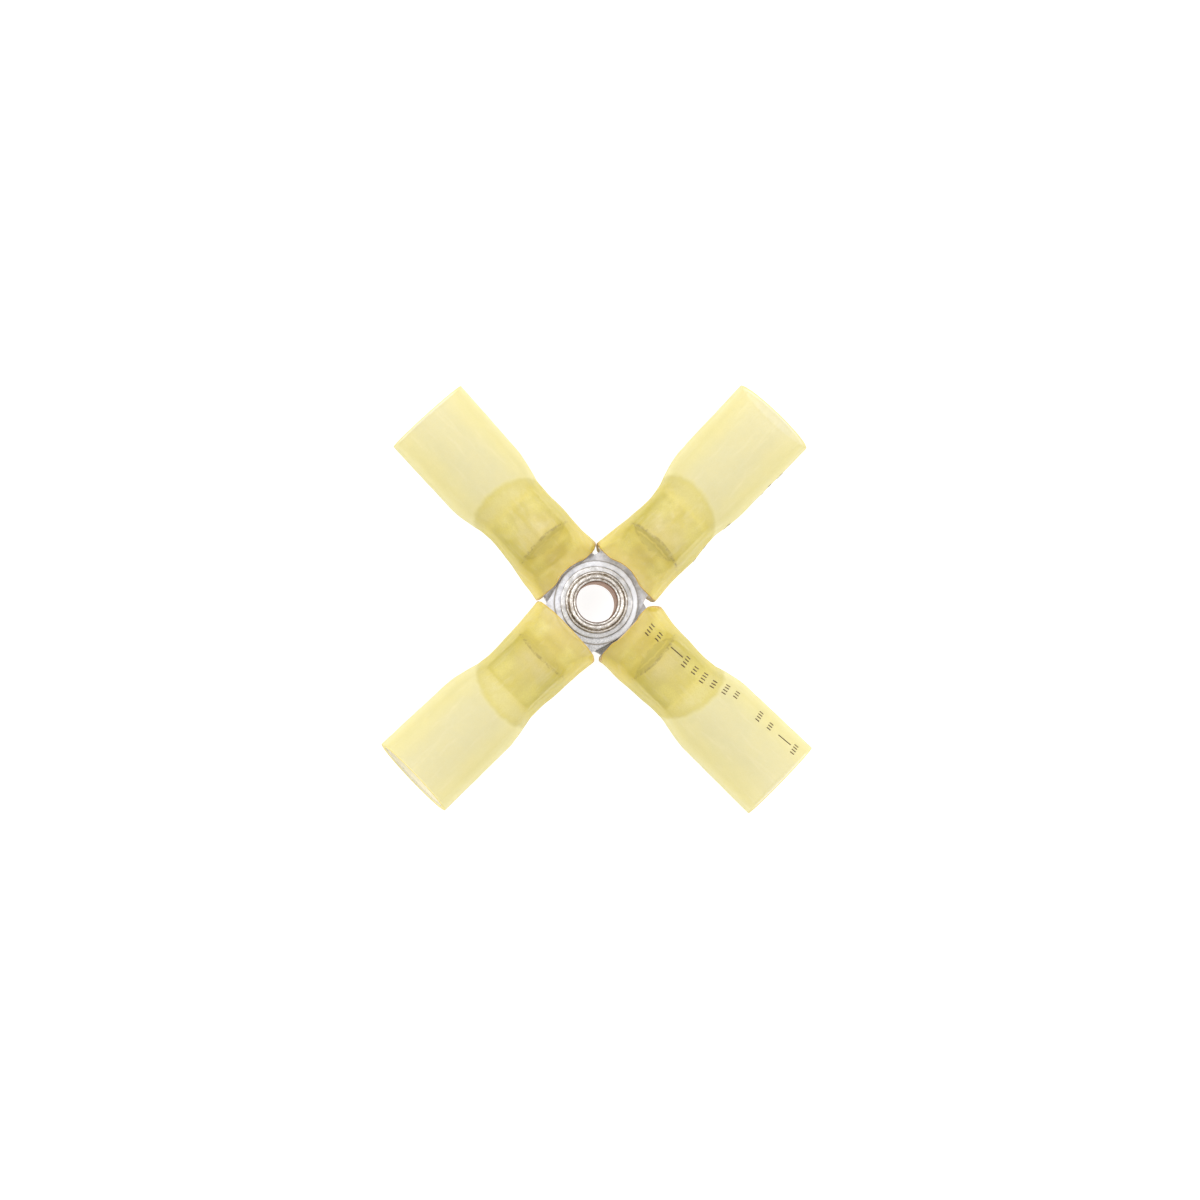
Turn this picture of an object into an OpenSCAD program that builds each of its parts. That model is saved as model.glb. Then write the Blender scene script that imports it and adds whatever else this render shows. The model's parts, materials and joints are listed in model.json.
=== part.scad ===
// Four-way crimp connector: four ring terminals stacked on one hollow rivet, each with
// a crimp barrel under an adhesive-lined heat-shrink sleeve.
// Millimetres. The origin is on the rivet's axis at the underside of the lowest tongue,
// +Z is up along the rivet, and an arm is drawn along +X before it is turned into place.

/* [Ring tongues] */
// Thickness of one flat tongue
tongue_t = 0.9; // [0.7:0.05:1.1]
// Radius of the ring at the end of a tongue
ring_r = 4.05; // [3.8:0.05:4.1]
// Half width of the neck where it enters the sleeve
neck_half_w = 3.1; // [2.6:0.05:3.15]
// Air between two stacked tongues
stack_gap = 0.02; // [0.01:0.01:0.04]

/* [Hollow rivet] */
// Radius of the rivet's through hole
rivet_bore_r = 1.95; // [1.7:0.05:2.0]
// Wall thickness of the rivet's tube
rivet_wall = 0.25; // [0.2:0.05:0.3]
// Radial running clearance between the rivet and the rings
rivet_clear = 0.05; // [0.03:0.01:0.08]
// Radius of the rolled lip on top
lip_r = 3.02; // [2.8:0.02:3.1]
// Height of the rolled lip above its washer
lip_h = 0.62; // [0.5:0.02:0.7]
// Radius of the factory head underneath
head_r = 3.3; // [3.0:0.05:3.6]
// Thickness of the factory head
head_t = 0.4; // [0.3:0.05:0.5]
// Radius of the washer under the rolled lip
washer_r = 3.5; // [3.3:0.05:3.7]
// Thickness of the washer
washer_t = 0.25; // [0.2:0.05:0.35]

/* [Crimp barrel] */
// Outer radius of the barrel
barrel_r = 2.8; // [2.75:0.05:2.85]
// Radius of the wire bore
wire_r = 1.7; // [1.5:0.05:1.9]
// Distance from the rivet to the wire end of the barrel
barrel_end = 12.0; // [11.6:0.1:12.4]
// Distance from the rivet to the top of the barrel's inner rim
rim_top_x = 8.0; // [7.8:0.1:8.2]
// Distance from the rivet to the inner rim at half height
rim_side_x = 7.3; // [7.2:0.1:7.6]
// Width of the brazed butt seam
seam_w = 0.32; // [0.2:0.02:0.5]

/* [Shrink sleeve] */
// Nominal distance from the rivet to a sleeve's open mouth
mouth_x = 24.4; // [22:0.1:27]
// Distance from the rivet to the sleeve's inner end
lip_x = 3.8; // [3.7:0.05:3.9]
// Outer radius of the mouth
mouth_r = 4.41; // [4.35:0.01:4.6]
// Outer radius where the flare levels out
flare_r = 4.3; // [4.2:0.01:4.35]
// Outer radius at the waist over the barrel
waist_r = 3.54; // [3.54:0.01:3.6]
// Outer radius over the barrel's inner rim
rim_r = 3.67; // [3.65:0.01:3.7]
// Half width of the sleeve's inner end
lip_half_w = 4.05; // [4.0:0.01:4.1]
// Wall thickness of the outer jacket
jacket_t = 0.46; // [0.4:0.01:0.48]
// Wall thickness of the adhesive liner
liner_t = 0.26; // [0.2:0.01:0.27]

/* [Arms] */
// Turn of the east arm from +X, in degrees
east_turn = 1.8; // [1.4:0.1:2.0]
// Turn of the north arm from +Y, in degrees
north_turn = -2.4; // [-2.6:0.1:-2.2]
// Turn of the west arm from -X, in degrees
west_turn = -0.8; // [-1.0:0.1:-0.6]
// Turn of the south arm from -Y, in degrees
south_turn = 1.4; // [1.2:0.1:1.6]
// How much longer than nominal the east sleeve was cut
east_extra = 0.36; // [-0.5:0.02:0.5]
// How much longer than nominal the north sleeve was cut
north_extra = -0.14; // [-0.5:0.02:0.5]
// How much longer than nominal the west sleeve was cut
west_extra = 0.22; // [-0.5:0.02:0.5]
// How much longer than nominal the south sleeve was cut
south_extra = 0.26; // [-0.5:0.02:0.5]

/* [Hidden] */
$fn = 96;

// Each arm: its heading, its place in the stack from the bottom, the headings, to its left and
// to its right, at which its sleeve's soft end is cut back from its neighbour, and where its
// sleeve's mouth is.
north = [90 + north_turn, 0, 44.6, 42.0, mouth_x + north_extra];
south = [270 + south_turn, 1, 39.8, 41.4, mouth_x + south_extra];
east = [0 + east_turn, 2, 42.0, 45.0, mouth_x + east_extra];
west = [180 + west_turn, 3, 43.2, 44.6, mouth_x + west_extra];

pitch = tongue_t + stack_gap;
stack_top = 4 * tongue_t + 3 * stack_gap;
seat_z = stack_top + stack_gap + washer_t;
rivet_r = rivet_bore_r + rivet_wall;
ring_hole_r = rivet_r + rivet_clear;
bell = 0.3;                 // round at both ends of the rivet's hole
crest_drop = 0.1;           // the hole's upper round starts this far under the lip's crest
roll_r = 0.26;              // radius of the lip's inner roll
roll_out = 0.24;            // its centre is this far outside the hole's round
ridge_r = 0.16;             // radius of the lip's low outer ridge
ridge_lift = 0.18;          // its centre is this far above the washer
ridge_foot = 0.06;          // the ridge stands this far inside its own widest place
neck_x = 4.0;               // the neck's taper starts here
neck_taper = [[5.6, 0.4], [6.6, 1.05]];     // along the neck, and how far its side has come in
barrel_start = 5.3;         // the barrel grows out of the tongue from here
rim_low_x = 5.5;            // lowest point of the barrel's slanted inner rim
seam_play = 0.05;           // the braze stops this far inside both ends of the seam
ring_clear_r = 4.2;         // nothing of a sleeve comes nearer the axis beside the stack
stack_clear = 0.4;          // that room reaches this far above the stack
depth = 8;                  // cutting shapes reach this far below an arm
reach = 12;                 // and this far out from the rivet
skirt_x = 8.6;              // the sleeve is round from here to its mouth
waist_x = 11.0;             // narrowest place of the sleeve
flare_x = 16.2;             // end of the sleeve's flare
liner_inset = 0.15;         // the liner stops this far inside the jacket's mouth
skirt_bulge = 1.6;          // how late the skirt's sides spread towards its inner end
drop_run = 3.0;             // length over which the sleeve's middle comes down
sag_run = 3.6;              // length over which its top comes down past the barrel's rim
lip_z = 1.0;                // middle height of the sleeve's inner end
lip_top = 4.9;              // top of the sleeve's inner end
lip_bottom = -1.15;         // underside of the sleeve's inner end
square = 4.6;               // how square the underside is there: 2 is an ellipse
sides = 36;                 // flats round the skirt
skirt_steps = 8;            // rings along the skirt
station = 0.6;              // spacing of the points along the round sleeve
hair = 0.004;               // the skirt stands this far inside the round sleeve
flat_gain = 1 / cos(180 / sides) - 1;       // share by which a flat-sided ring's corners stand out
joint_wall = jacket_t - hair - (rim_r - jacket_t) * flat_gain;

function smooth(t) = let (u = min(1, max(0, t))) u * u * (3 - 2 * u);
function mix(a, b, t) = a + (b - a) * t;

// Outer radius of the sleeve, and its half width along the skirt
function sleeve_r(x) =
    x > flare_x ? mix(flare_r, mouth_r, (x - flare_x) / (mouth_x - flare_x))
    : x > waist_x ? mix(waist_r, flare_r, smooth((x - waist_x) / (flare_x - waist_x)))
    : x > skirt_x ? mix(rim_r, waist_r, smooth((x - skirt_x) / (waist_x - skirt_x)))
    : rim_r + (lip_half_w - rim_r) * pow((skirt_x - x) / (skirt_x - lip_x), skirt_bulge);

// Inner radius of the liner: it lies on the barrel, and beyond it keeps its own thickness
function liner_r(x) =
    x <= barrel_end ? barrel_r : max(barrel_r, sleeve_r(x) - jacket_t - liner_t);

// One point of the skirt's outline at x, wall mm inside its outer face, at the angle a
function skirt_point(x, wall, a) = let (
    drop = smooth((skirt_x - x) / drop_run),
    sag = smooth((rim_top_x + 0.2 - x) / sag_run),
    mid = mix(barrel_r, lip_z, drop),
    top = mix(barrel_r + rim_r, lip_top, sag) - mid - wall,
    low = mid - mix(barrel_r - rim_r, lip_bottom, drop) - wall,
    half = sleeve_r(x) - wall,
    power = sin(a) < 0 ? 2 / mix(2, square, drop) : 1,
    height = sin(a) < 0 ? -low : top
) [
    x,
    half * sign(cos(a)) * pow(abs(cos(a)), power),
    mid + height * pow(abs(sin(a)), power)
];

// A tube between two offsets of the skirt's outline, from lip_x to skirt_x
module skirt(outer, inner) {
    rings = [for (i = [0:skirt_steps]) mix(lip_x, skirt_x, i / skirt_steps)];
    points = [
        for (wall = [outer, inner])
            for (x = rings)
                for (k = [0:sides - 1]) skirt_point(x, wall, (k + 0.5) * 360 / sides)
    ];
    shift = (skirt_steps + 1) * sides;
    function at(side, i, k) = side * shift + i * sides + k % sides;
    walls = [
        for (side = [0, 1])
            for (i = [0:skirt_steps - 1])
                for (k = [0:sides - 1])
                    for (half = [0, 1])
                        let (
                            a = at(side, i, k),
                            b = at(side, i, k + 1),
                            c = at(side, i + 1, k + 1),
                            d = at(side, i + 1, k),
                            face = half == 0 ? [a, b, c] : [a, c, d]
                        ) side == 1 ? face : [face[2], face[1], face[0]]
    ];
    ends = [
        for (i = [0, skirt_steps])
            for (k = [0:sides - 1])
                for (half = [0, 1])
                    let (
                        a = at(0, i, k),
                        b = at(0, i, k + 1),
                        c = at(1, i, k + 1),
                        d = at(1, i, k),
                        face = half == 0 ? [a, c, b] : [a, d, c]
                    ) i > 0 ? face : [face[2], face[1], face[0]]
    ];
    polyhedron(points, concat(walls, ends));
}

// Turns a profile of [x, radius] points about the barrel's axis
module round_barrel(profile) {
    translate([0, 0, barrel_r])
        rotate([0, 90, 0])
            rotate_extrude()
                polygon([for (p = profile) [p[1], p[0]]]);
}

// Puts an arm drawn along +X at its heading and its height in the stack
module place(arm) {
    rotate([0, 0, arm[0]])
        translate([0, 0, arm[1] * pitch])
            children();
}

// Clears the rings of the stack and the neighbouring sleeves from a sleeve's inner end
module trim_inner_end(arm) {
    difference() {
        children();
        translate([0, 0, -depth])
            cylinder(r = ring_clear_r, h = depth + stack_top + stack_clear - arm[1] * pitch);
        for (side = [1, -1]) {
            cut = side > 0 ? arm[2] : arm[3];
            translate([0, 0, -depth])
                linear_extrude(3 * depth)
                    polygon([[0, 0], [reach * cos(cut), side * reach * sin(cut)], [0, side * reach]]);
        }
    }
}

// Points of a round in the rivet's profile: its centre, its radius, and the angles it spans
function round_to(r, z, radius, from, to, step) =
    [for (a = [from:step:to]) [r + radius * cos(a), z + radius * sin(a)]];

module hollow_rivet() {
    round_r = rivet_bore_r + bell;
    crest_z = seat_z + lip_h;
    color("silver")
        rotate_extrude()
            polygon(concat(
                // hole, from the top down, with a bell at each end
                round_to(round_r, crest_z - crest_drop - bell, bell, 90, 180, 15),
                round_to(round_r, bell - head_t, bell, 180, 270, 15),
                // factory head with a rounded rim
                round_to(head_r - head_t / 2, -head_t / 2, head_t / 2, -90, 90, 15),
                // tube and the seat of the rolled lip
                [[rivet_r, 0], [rivet_r, seat_z], [lip_r - ridge_foot, seat_z]],
                // low outer ridge, groove and high inner roll
                round_to(lip_r - ridge_r, seat_z + ridge_lift, ridge_r, 0, 140, 20),
                round_to(round_r + roll_out, crest_z - roll_r, roll_r, 20, 160, 20)
            ));
}

module rivet_washer() {
    color("silver")
        translate([0, 0, stack_top + stack_gap])
            difference() {
                cylinder(r = washer_r, h = washer_t);
                translate([0, 0, -1])
                    cylinder(r = rivet_r, h = washer_t + 2);
            }
}

// Flat ring, tapering neck and rolled barrel in one stamping, with its butt seam open on top
module ring_terminal(arm) {
    corner = sqrt(neck_x * neck_x + neck_half_w * neck_half_w);
    tangent = atan2(neck_half_w, neck_x) + acos(ring_r / corner);
    side = concat(
        [[ring_r * cos(tangent), ring_r * sin(tangent)], [neck_x, neck_half_w]],
        [for (p = neck_taper) [p[0], neck_half_w - p[1]]]
    );
    color("lightgray") place(arm)
        difference() {
            union() {
                linear_extrude(tongue_t) {
                    circle(r = ring_r);
                    polygon(concat(side, [for (i = [len(side) - 1:-1:0]) [side[i][0], -side[i][1]]]));
                }
                difference() {
                    translate([barrel_start, 0, barrel_r])
                        rotate([0, 90, 0])
                            cylinder(r = barrel_r, h = barrel_end - barrel_start);
                    barrel_rim_cutter();
                }
            }
            translate([0, 0, -1])
                cylinder(r = ring_hole_r, h = tongue_t + 2);
            translate([barrel_start - 1, 0, barrel_r])
                rotate([0, 90, 0])
                    cylinder(r = wire_r, h = reach);
            translate([barrel_start, -seam_w / 2, barrel_r + wire_r / 2])
                cube([reach, seam_w, barrel_r]);
        }
}

// What is cut from the barrel's inner end, so that its rim rises from the tongue in a slant
module barrel_rim_cutter() {
    far = barrel_start - 1;
    translate([0, depth, 0])
        rotate([90, 0, 0])
            linear_extrude(2 * depth)
                polygon([
                    [far, tongue_t], [rim_low_x, tongue_t], [rim_side_x, barrel_r],
                    [rim_top_x, 2 * barrel_r], [rim_top_x, depth], [far, depth]
                ]);
}

// Braze alloy that fills the butt seam, flush with the barrel inside and out
module seam_braze(arm) {
    color("gainsboro") place(arm)
        intersection() {
            translate([rim_top_x + seam_play, -seam_w / 2, barrel_r + wire_r / 2])
                cube([barrel_end - rim_top_x - 2 * seam_play, seam_w, barrel_r]);
            round_barrel([[0, wire_r], [0, barrel_r], [mouth_x, barrel_r], [mouth_x, wire_r]]);
        }
}

// Hot-melt lining, melted onto the barrel and still unmelted in the open mouth
module adhesive_liner(arm) {
    end_x = arm[4] - liner_inset;
    stations = [for (x = [skirt_x:station:end_x - station / 2]) x];
    color("lemonchiffon") place(arm)
        trim_inner_end(arm)
            union() {
                skirt(joint_wall, jacket_t + liner_t);
                round_barrel(concat(
                    [for (x = stations) [x, sleeve_r(x) - jacket_t]],
                    [[end_x, sleeve_r(end_x) - jacket_t], [end_x, liner_r(end_x)]],
                    [for (i = [len(stations) - 1:-1:0]) [stations[i], liner_r(stations[i])]]
                ));
            }
}

// Shrinkable jacket: shrunk at the waist, still at its full width at the mouth
module shrink_sleeve(arm) {
    end_x = arm[4];
    stations = [for (x = [skirt_x:station:end_x - station / 2]) x];
    color("khaki") place(arm)
        trim_inner_end(arm)
            union() {
                skirt(hair, joint_wall);
                round_barrel(concat(
                    [for (x = stations) [x, sleeve_r(x)]],
                    [[end_x, sleeve_r(end_x)], [end_x, sleeve_r(end_x) - jacket_t]],
                    [for (i = [len(stations) - 1:-1:0]) [stations[i], sleeve_r(stations[i]) - jacket_t]]
                ));
            }
}

hollow_rivet();
rivet_washer();
ring_terminal(north);  // ring_terminal_north
seam_braze(north);  // seam_braze_north
adhesive_liner(north);  // adhesive_liner_north
shrink_sleeve(north);  // shrink_sleeve_north
ring_terminal(south);  // ring_terminal_south
seam_braze(south);  // seam_braze_south
adhesive_liner(south);  // adhesive_liner_south
shrink_sleeve(south);  // shrink_sleeve_south
ring_terminal(east);  // ring_terminal_east
seam_braze(east);  // seam_braze_east
adhesive_liner(east);  // adhesive_liner_east
shrink_sleeve(east);  // shrink_sleeve_east
ring_terminal(west);  // ring_terminal_west
seam_braze(west);  // seam_braze_west
adhesive_liner(west);  // adhesive_liner_west
shrink_sleeve(west);  // shrink_sleeve_west
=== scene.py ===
"""Looks of a four-way heat-shrink crimp connector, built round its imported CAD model.

Shapes are worked out in millimetres in the frame of one arm, which runs along +X from the rivet,
and are then turned to the arm's heading, lifted to its level in the stack and scaled to metres.
"""
import json
import math

import bpy
import numpy as np
from mathutils import Matrix, Vector


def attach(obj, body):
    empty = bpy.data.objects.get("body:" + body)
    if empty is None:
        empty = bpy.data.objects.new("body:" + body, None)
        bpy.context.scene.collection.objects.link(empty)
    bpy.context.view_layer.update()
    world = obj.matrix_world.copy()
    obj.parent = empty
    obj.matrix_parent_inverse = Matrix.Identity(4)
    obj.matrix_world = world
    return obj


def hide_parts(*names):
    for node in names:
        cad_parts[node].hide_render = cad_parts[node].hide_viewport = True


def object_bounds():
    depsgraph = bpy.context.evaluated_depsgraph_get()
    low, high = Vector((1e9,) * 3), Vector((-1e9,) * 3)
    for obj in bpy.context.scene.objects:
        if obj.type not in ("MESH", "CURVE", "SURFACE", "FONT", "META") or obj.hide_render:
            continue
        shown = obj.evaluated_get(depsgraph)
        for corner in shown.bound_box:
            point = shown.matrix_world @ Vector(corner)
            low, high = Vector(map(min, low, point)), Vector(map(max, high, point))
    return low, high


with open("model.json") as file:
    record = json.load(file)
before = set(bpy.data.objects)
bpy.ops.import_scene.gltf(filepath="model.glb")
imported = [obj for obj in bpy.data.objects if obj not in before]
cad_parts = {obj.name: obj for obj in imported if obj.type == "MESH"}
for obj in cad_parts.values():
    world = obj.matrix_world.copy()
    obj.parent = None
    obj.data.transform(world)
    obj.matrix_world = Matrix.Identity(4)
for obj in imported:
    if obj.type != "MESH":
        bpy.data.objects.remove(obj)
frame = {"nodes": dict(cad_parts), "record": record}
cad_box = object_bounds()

MM = 0.001
TAU = 2 * math.pi

# ---- dimensions of the CAD model, in millimetres ----
STACK_TOP = 3.66
SEAT_Z = 3.93
BORE_R, RIVET_R = 1.95, 2.2
LIP_R, LIP_H = 3.02, 0.62
HEAD_R, HEAD_T = 3.3, 0.4
WASHER_R, WASHER_T = 3.5, 0.25
BARREL_R, BARREL_END = 2.8, 12.0
RIM_TOP_X = 8.0
MOUTH_X, MOUTH_R = 24.4, 4.41
FLARE_X, FLARE_R = 16.2, 4.3
WAIST_X, WAIST_R = 11.0, 3.54
SKIRT_X, RIM_R = 8.6, 3.67
LIP_X, LIP_HALF_W = 3.8, 4.05
LIP_Z, LIP_TOP, LIP_BOTTOM, SQUARE = 1.0, 4.9, -1.15, 4.6
JACKET_T, LINER_T = 0.46, 0.26
RING_CLEAR_R = 4.2

# Where a sleeve's looks change along its arm, in millimetres
LIP_LAST_X = 6.4  # no sleeve starts further out than this
FOLD_X = 6.4  # a fold across the skirt
DENT_X = 7.4  # the crease pressed into the wall in front of the barrel's rim
OFF_SKIRT, OFF_WAIST = (4.8, 1.6), (9.8, 3.2)  # where a sleeve is most off centre, and how widely
HOLLOW_X, HOLLOW_HALF = 7.45, 0.62  # the hollow in front of the rim, painted with olive shade, and half its width
RIM_LINE_X = 8.05  # the rim's edge, painted as a dark line of shade
END_STEP_X = 12.35  # where the skin steps down off the barrel's end
FRONT_X, FRONT_LIFT, FRONT_POWER = 12.95, 1.75, 1.3  # the adhesive's melt front, further out on top
LINER_FRONT_X = 12.75  # the same front in the liner's shape
LOW_LIP_X = (23.3, 23.8)  # the milky lip low in the mouth

EDGE_R = 4.0  # radius of the stacked rings' edges: a painted highlight just inside, a painted line of shade just outside
# Brown rings round the rivet's rolled lip: radius, half width and strength
WORN_RINGS = ((2.26, 0.1, 0.55), (2.72, 0.13, 0.85), (3.0, 0.08, 0.6))

# Each arm's heading and level come from its wire mount in the imported record. The rest is:
# left, right: the headings in degrees at which its soft inner end is cut back from its neighbours
# lip: how near to the rivet its upper side reaches; None stops it outside the rings all round
# extra: how much longer than nominal its sleeve was cut
# waist, skirt: how far its sleeve sits off centre there, to its left
# seed: sets its own dents apart from the others'
# hollow: how deep the dip in front of the barrel's rim is and how strongly its painted shade shows,
# from 0 to 1
# slant: how much shorter its sleeve was cut on top than underneath
ARM_KEYS = ("left", "right", "lip", "extra", "waist", "skirt", "seed", "hollow", "slant")
ARM_ROWS = {
    "north": (44.6, 42.0, None, -0.14, -0.12, -0.1, 3.1, 0.6, 0.0),
    "south": (39.8, 41.4, 3.98, 0.26, -0.1, 0.3, 17.7, 0.8, 0.0),
    "east": (42.0, 45.0, None, 0.36, -0.4, -0.05, 31.3, 1.0, 0.0),
    "west": (43.2, 44.6, 3.8, 0.22, 0.1, 0.0, 46.9, 0.35, 0.26),
}
ARMS = {arm_name: dict(zip(ARM_KEYS, row)) for arm_name, row in ARM_ROWS.items()}
MOUNTS = {mount["name"]: mount for mount in frame["record"]["mounts"]}
for arm_name, arm in ARMS.items():
    mount = MOUNTS["wire_entry_" + arm_name]
    arm["heading"] = math.atan2(mount["axis"][1], mount["axis"][0])
    arm["lift"] = mount["pos_m"][2] / MM - BARREL_R
    arm["mouth"] = MOUTH_X + arm["extra"]


# ---- numbers and shapes ----
def smooth(t):
    u = np.clip(t, 0.0, 1.0)
    return u * u * (3 - 2 * u)


def mix(a, b, t):
    return a + (b - a) * t


def bump_at(x, centre, width):
    """1 at centre, falling to nothing over about twice the width."""
    return np.exp(-(((x - centre) / width) ** 2))


def ripple(x, a, seed, waves):
    """Smooth irregularity from -1 to 1 over a sleeve: x runs along it and a is the angle round it."""
    total = 0.0
    for i, (along, around) in enumerate(waves):
        total = total + np.sin(along * x + around * a + seed * (1.7 + 0.9 * i)) * np.cos(
            0.63 * along * x - seed * (0.7 + 0.4 * i)
        )
    return total / len(waves)


def sleeve_r(x):
    """Outer radius of a sleeve, and its half width along the skirt."""
    x = np.asarray(x, float)
    far = mix(FLARE_R, MOUTH_R, (x - FLARE_X) / (MOUTH_X - FLARE_X))
    flare = mix(WAIST_R, FLARE_R, smooth((x - WAIST_X) / (FLARE_X - WAIST_X)))
    waist = mix(RIM_R, WAIST_R, smooth((x - SKIRT_X) / (WAIST_X - SKIRT_X)))
    share = np.clip((SKIRT_X - x) / (SKIRT_X - LIP_X), 0, None)
    skirt = RIM_R + (LIP_HALF_W - RIM_R) * share**1.6
    near = np.where(x > SKIRT_X, waist, skirt)
    return np.where(x > FLARE_X, far, np.where(x > WAIST_X, flare, near))


def outline(x, a, wall):
    """Point of a sleeve's section at x and the angle a, wall mm inside its outer face."""
    drop = smooth((SKIRT_X - x) / 3.0)
    sag = smooth((RIM_TOP_X + 0.2 - x) / 3.6)
    mid = mix(BARREL_R, LIP_Z, drop)
    top = mix(BARREL_R + RIM_R, LIP_TOP, sag) - mid - wall
    low = mid - mix(BARREL_R - RIM_R, LIP_BOTTOM, drop) - wall
    half = sleeve_r(x) - wall
    under = np.sin(a) < 0
    power = np.where(under, 2 / mix(2, SQUARE, drop), 1.0)
    round_part = x >= SKIRT_X
    height = np.where(round_part, half, np.where(under, low, top))
    y = half * np.sign(np.cos(a)) * np.abs(np.cos(a)) ** power
    z = mid + height * np.sign(np.sin(a)) * np.abs(np.sin(a)) ** power
    return y, z


def dent(arm, x, a):
    """How far a sleeve's wall stands out of its plain shape, in mm: a little inwards on the whole, and
    nowhere outwards at the mouth."""
    seed = arm["seed"]
    up = np.clip(np.sin(a), 0, None)
    calm = smooth((MOUTH_X - x) / 3.0)
    soft = 0.035 * ripple(x, a, seed, ((0.9, 2), (1.7, 3), (0.5, 1), (2.6, 5))) * calm
    depth = 0.1 + 0.14 * arm["hollow"]
    crease = -depth * bump_at(x, DENT_X + 0.15 * np.cos(a + seed), 0.36) * up**2
    fold = 0.1 * bump_at(x, FOLD_X + 0.2 * np.sin(2 * a + seed), 0.35) * up**3
    hollow = -0.1 * bump_at(x, 5.3, 0.8) * up * (0.6 + 0.4 * np.sin(a * 3 + seed))
    step = -0.05 * bump_at(x, BARREL_END + 0.5, 0.5)
    return soft + crease + fold + hollow + step - 0.012


def sleeve_point(arm, x, a, wall):
    """Where a sleeve's wall is at x and the angle a, at the depth wall, dented and set off centre:
    the wall is thicker on one side, so its innermost face stays on the barrel."""
    y, z = outline(x, a, wall - dent(arm, x, a))
    off = arm["waist"] * bump_at(x, *OFF_WAIST) + arm["skirt"] * bump_at(x, *OFF_SKIRT)
    return y + off * np.clip(1 - wall / (JACKET_T + LINER_T), 0, 1), z


def first_x(arm, a, wall, lip_shift=0.0):
    """Where a sleeve's wall starts along the arm at the angle a, clear of the rings and neighbours."""
    x = np.arange(LIP_X, LIP_LAST_X, 0.01)
    y, z = sleeve_point(arm, x, np.full_like(x, a), wall)
    limit = STACK_TOP + 0.4 - arm["lift"]
    clear = np.hypot(x, y) >= RING_CLEAR_R
    if arm["lip"] is not None:
        clear |= (z > limit) & (x >= arm["lip"] + lip_shift)
    cut = np.radians(np.where(y > 0, arm["left"], arm["right"]))
    clear &= np.abs(np.arctan2(y, x)) <= cut
    return x[np.argmax(clear)]


def to_world(arm, points):
    """Arm's own millimetres to metres in the row frame."""
    c, s = math.cos(arm["heading"]), math.sin(arm["heading"])
    x, y, z = np.asarray(points, float).T
    return np.stack([x * c - y * s, x * s + y * c, z + arm["lift"]], 1) * MM


def make_piece(
    name, points, faces, body, arm=None, replaces=(), materials=(), face_slots=None, turn=None
):
    """A mesh piece from points in millimetres. The attribute spot keeps each point's own place in mm,
    and a sleeve's turn keeps the cosine and sine of where the point is round the sleeve, and how
    strongly the arm's hollow shows."""
    world = to_world(arm, points) if arm else np.asarray(points, float) * MM
    mesh = bpy.data.meshes.new(name)
    mesh.from_pydata(world.tolist(), [], [tuple(int(i) for i in f) for f in faces])
    spot = mesh.attributes.new("spot", "FLOAT_VECTOR", "POINT")
    spot.data.foreach_set("vector", np.asarray(points, np.float32).ravel())
    if turn is not None:
        kept_turn = mesh.attributes.new("turn", "FLOAT_VECTOR", "POINT")
        kept_turn.data.foreach_set("vector", np.asarray(turn, np.float32).ravel())
    for m in materials:
        mesh.materials.append(m)
    if face_slots is not None:
        mesh.polygons.foreach_set("material_index", np.asarray(face_slots, np.int32))
    mesh.polygons.foreach_set("use_smooth", np.ones(len(faces), bool))
    mesh.validate()
    mesh.update()
    piece = bpy.data.objects.new(name, mesh)
    bpy.context.scene.collection.objects.link(piece)
    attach(piece, body)
    if replaces:
        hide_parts(*replaces)
    return piece


def tube_faces(rows, columns, closed):
    """Quads over a grid of rows by columns, wrapped round the columns and, if closed, over the rows."""
    faces = []
    for i in range(rows if closed else rows - 1):
        for k in range(columns):
            a, b = i * columns + k, i * columns + (k + 1) % columns
            c, d = ((i + 1) % rows) * columns + (k + 1) % columns, ((i + 1) % rows) * columns + k
            faces.append((a, b, c, d))
    return faces


# ---- materials: every pattern is procedural, in millimetres of the piece's own place ----
def srgb(r, g, b, gain=1.0):
    """A display colour from 0 to 255 as the linear colour that shows it, times gain."""
    def linear(v):
        v /= 255
        return v / 12.92 if v <= 0.04045 else ((v + 0.055) / 1.055) ** 2.4
    return (linear(r) * gain, linear(g) * gain, linear(b) * gain, 1.0)


def node(tree, kind, inputs=(), **settings):
    """Adds a shader node; an input's value is a number, a colour or another node's output."""
    made = tree.nodes.new("ShaderNode" + kind)
    for key, value in settings.items():
        setattr(made, key, value)
    for key, value in dict(inputs).items():
        if isinstance(value, bpy.types.NodeSocket):
            tree.links.new(value, made.inputs[key])
        else:
            made.inputs[key].default_value = value
    return made


def new_material(name, **sockets):
    """A material with one Principled shader; its constants are set straight on the shader."""
    material = bpy.data.materials.new(name)
    material.use_nodes = True
    tree = material.node_tree
    shader = tree.nodes["Principled BSDF"]
    for key, value in sockets.items():
        shader.inputs[key.replace("_", " ")].default_value = value
    return material, tree, shader


def spot_of(tree):
    """The piece's own place in millimetres, kept on its mesh."""
    return node(tree, "Attribute", attribute_name="spot").outputs["Vector"]


def object_mm(tree):
    """A CAD node's place in millimetres."""
    place = node(tree, "TexCoord").outputs["Object"]
    return node(tree, "VectorMath", {0: place, "Scale": 1 / MM}, operation="SCALE").outputs[0]


def noise(tree, place, scale, detail=2.0, roughness=0.5, stretch=None):
    if stretch is not None:
        place = node(tree, "VectorMath", {0: place, 1: stretch}, operation="MULTIPLY").outputs[0]
    inputs = {"Vector": place, "Scale": scale, "Detail": detail, "Roughness": roughness}
    return node(tree, "TexNoise", inputs).outputs[0]


def maths(tree, operation, a, b=0.0, c=0.0, clamp=False):
    made = node(tree, "Math", {0: a, 1: b, 2: c}, operation=operation, use_clamp=clamp)
    return made.outputs[0]


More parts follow.
